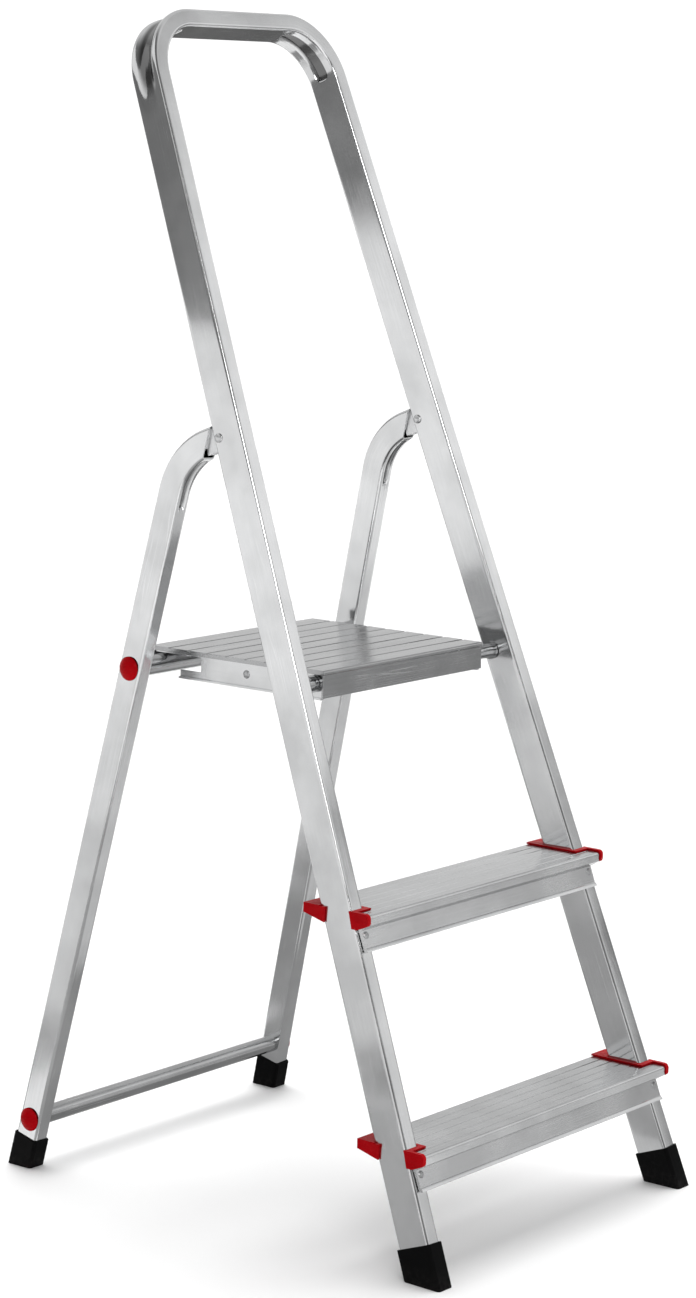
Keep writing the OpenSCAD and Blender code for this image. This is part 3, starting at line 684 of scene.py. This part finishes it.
def wall(name, azimuth, distance, aside, height, strength):
    """An upright glowing card facing the origin, from +Y towards +X by azimuth degrees; aside and
    height are its (from, to) across and above the floor."""
    a = math.radians(azimuth)
    out = Vector((math.sin(a), math.cos(a), 0)) * distance
    along = Vector((math.cos(a), -math.sin(a), 0))
    ends = [out + along * x for x in aside]
    z0, z1 = height
    return card(name, [(ends[0].x, ends[0].y, z0), (ends[1].x, ends[1].y, z0),
                       (ends[1].x, ends[1].y, z1), (ends[0].x, ends[0].y, z1)], strength)


def lateral(distance, aside, z):
    """A point that far out towards the ladder's left, and that far across from there."""
    a = math.radians(LEFT)
    return (math.sin(a) * distance + math.cos(a) * aside,
            math.cos(a) * distance - math.sin(a) * aside, z)


# The room's light: dim towards -X and bright towards +X, in bands upward, for the metal's contrast
world = bpy.data.worlds.new("studio")
bpy.context.scene.world = world
world.use_nodes = True
wt = world.node_tree
back = wt.nodes["Background"]
back.inputs["Strength"].default_value = 1.0
direction = wt.nodes.new("ShaderNodeTexCoord")
axes = wt.nodes.new("ShaderNodeSeparateXYZ")
wt.links.new(direction.outputs["Generated"], axes.inputs["Vector"])


def ramp(source, low, high, stops):
    """Greys along source, as (position, grey) from low to high."""
    span = wt.nodes.new("ShaderNodeMapRange")
    span.inputs["From Min"].default_value = low
    span.inputs["From Max"].default_value = high
    wt.links.new(source, span.inputs["Value"])
    r = wt.nodes.new("ShaderNodeValToRGB")
    while len(r.color_ramp.elements) < len(stops):
        r.color_ramp.elements.new(0.5)
    for e, (pos, grey) in zip(r.color_ramp.elements, stops):
        e.position = pos
        e.color = (grey, grey, grey, 1)
    wt.links.new(span.outputs["Result"], r.inputs["Fac"])
    return r.outputs["Color"]


across = ramp(axes.outputs["X"], -1, 1, [(0.35, 0.24), (0.6, 1.1)])
upward = ramp(axes.outputs["Z"], 0, 1,
              [(0.04, 1.0), (0.14, 0.80), (0.24, 0.82), (0.30, 0.46), (0.42, 0.7)])
both = wt.nodes.new("ShaderNodeMix")
both.data_type = "RGBA"
both.blend_type = "MULTIPLY"
both.inputs[0].default_value = 1.0
# Inputs 6 and 7 and output 2 are the node's colours
wt.links.new(across, both.inputs[6])
wt.links.new(upward, both.inputs[7])
wt.links.new(both.outputs[2], back.inputs["Color"])

# Whatever the ladder reflects, the backdrop itself is plain white
plain_back = wt.nodes.new("ShaderNodeBackground")
plain_back.inputs["Color"].default_value = (1.1, 1.1, 1.1, 1)
seen_by = wt.nodes.new("ShaderNodeLightPath")
choose = wt.nodes.new("ShaderNodeMixShader")
wt.links.new(seen_by.outputs["Is Camera Ray"], choose.inputs[0])
wt.links.new(back.outputs[0], choose.inputs[1])
wt.links.new(plain_back.outputs[0], choose.inputs[2])
wt.links.new(choose.outputs[0], wt.nodes["World Output"].inputs["Surface"])

sun = bpy.data.lights.new("overhead", "SUN")
sun.energy = 2.4
sun.angle = math.radians(50)
sun_obj = bpy.data.objects.new("overhead", sun)
bpy.context.scene.collection.objects.link(sun_obj)
sun_obj.rotation_euler = (math.radians(-14), math.radians(16), 0)
sun_obj.visible_glossy = False

wall("left_panel_upper", LEFT, LEFT_FAR, (-2.8, 2.8), (2.0, 4.2), 1.0)
wall("left_backdrop", LEFT, LEFT_FAR, (-2.8, 2.8), (0.0, 1.15), 0.24)
for part, height, strength in (("low", (0.08, 0.33), 0.84), ("middle", (0.33, 0.50), 0.96),
                               ("high", (0.50, 0.97), 1.08)):
    wall("left_panel_" + part, LEFT, LEFT_NEAR, (-2.6, 2.6), height, strength)
for part, aside, height, strength in (
        ("near_low", (0.02, 2.8), (0.0, 0.8), 0.68),
        ("near_middle", (-0.02, 2.8), (0.8, 1.40), 0.95),
        ("near_band", (0.02, 2.8), (1.40, 1.68), 0.46),
        ("far_low", (-2.8, 0.02), (0.0, 1.1), 0.25),
        ("far_middle", (-2.8, -0.02), (1.1, 1.58), 0.53),
        ("far_band", (-2.8, 0.02), (1.58, 1.68), 0.8),
        ("high", (-2.8, 2.8), (1.68, 3.0), 1.10),
        ("upper", (-2.8, 2.8), (3.0, 3.5), 0.84),
        ("top", (-2.8, 2.8), (3.5, 4.4), 0.62)):
    wall("right_panel_" + part, RIGHT, RIGHT_AWAY, aside, height, strength)
area("key", (-2.7, -2.9, 2.5), (0, 0, 0.7), (2.0, 1.0), 45)
# Dim floor cards that only the metal reflects. The middle one under the ladder is painted shadow:
# the ladder's own shadow on the floor, as the metal reflects it.
for part, (x0, x1), (y0, y1), z, strength in (
        ("right", (1.5, 8), (-7, -1.0), FLAG_Z, 0.4), ("back", (1.2, 8), (0.6, 8), FLAG_Z, 0.12),
        ("front", (0.1, 1.5), (-1.6, 0), LOW_FLAG_Z, 0.72),
        ("middle", (-0.2, 0.8), (0, 0.45), FLAG_Z, 0.34)):
    card("floor_flag_" + part, [(x0, y0, z), (x1, y0, z), (x1, y1, z), (x0, y1, z)], strength)
# Painted shadow: dim floor cards beside the ladder's left side, standing in for the ladder's own
# shadow on the floor in the metal's reflections.
for part, (d0, d1), (a0, a1), strength in (
        ("near", (-0.3, 0.8), (-0.9, 0.03), 0.46), ("far", (0.3, 0.84), (0.2, 0.9), 0.36),
        ("left", (0.85, 1.6), (-0.9, 0.6), 0.4)):
    card("floor_flag_" + part,
         [lateral(d, a, SIDE_FLAG_Z) for d, a in ((d0, a0), (d1, a0), (d1, a1), (d0, a1))],
         strength)

# Camera at the reference view's angle
CAMERA_AT = (-2.8109, -2.2499, 1.1781)
LENS, SENSOR, SHIFT = 91.77, 36, (0.0041, -0.0521)
YAW, PITCH, ROLL = math.radians(51.094), math.radians(-7.96), math.radians(1.037)
fwd = Vector((math.sin(YAW) * math.cos(PITCH), math.cos(YAW) * math.cos(PITCH), math.sin(PITCH)))
right = Vector((math.cos(YAW), -math.sin(YAW), 0))
up = right.cross(fwd)
rolled_right = right * math.cos(ROLL) + up * math.sin(ROLL)
rolled_up = -right * math.sin(ROLL) + up * math.cos(ROLL)
cam_data = bpy.data.cameras.new("camera")
cam_data.sensor_width = SENSOR
cam_data.lens = LENS
cam_data.shift_x, cam_data.shift_y = SHIFT
cam = bpy.data.objects.new("camera", cam_data)
cam.matrix_world = Matrix.Translation(CAMERA_AT) @ Matrix(
    (rolled_right, rolled_up, -fwd)).transposed().to_4x4()
bpy.context.scene.collection.objects.link(cam)
bpy.context.scene.camera = cam
bpy.context.scene.view_settings.view_transform = "Standard"
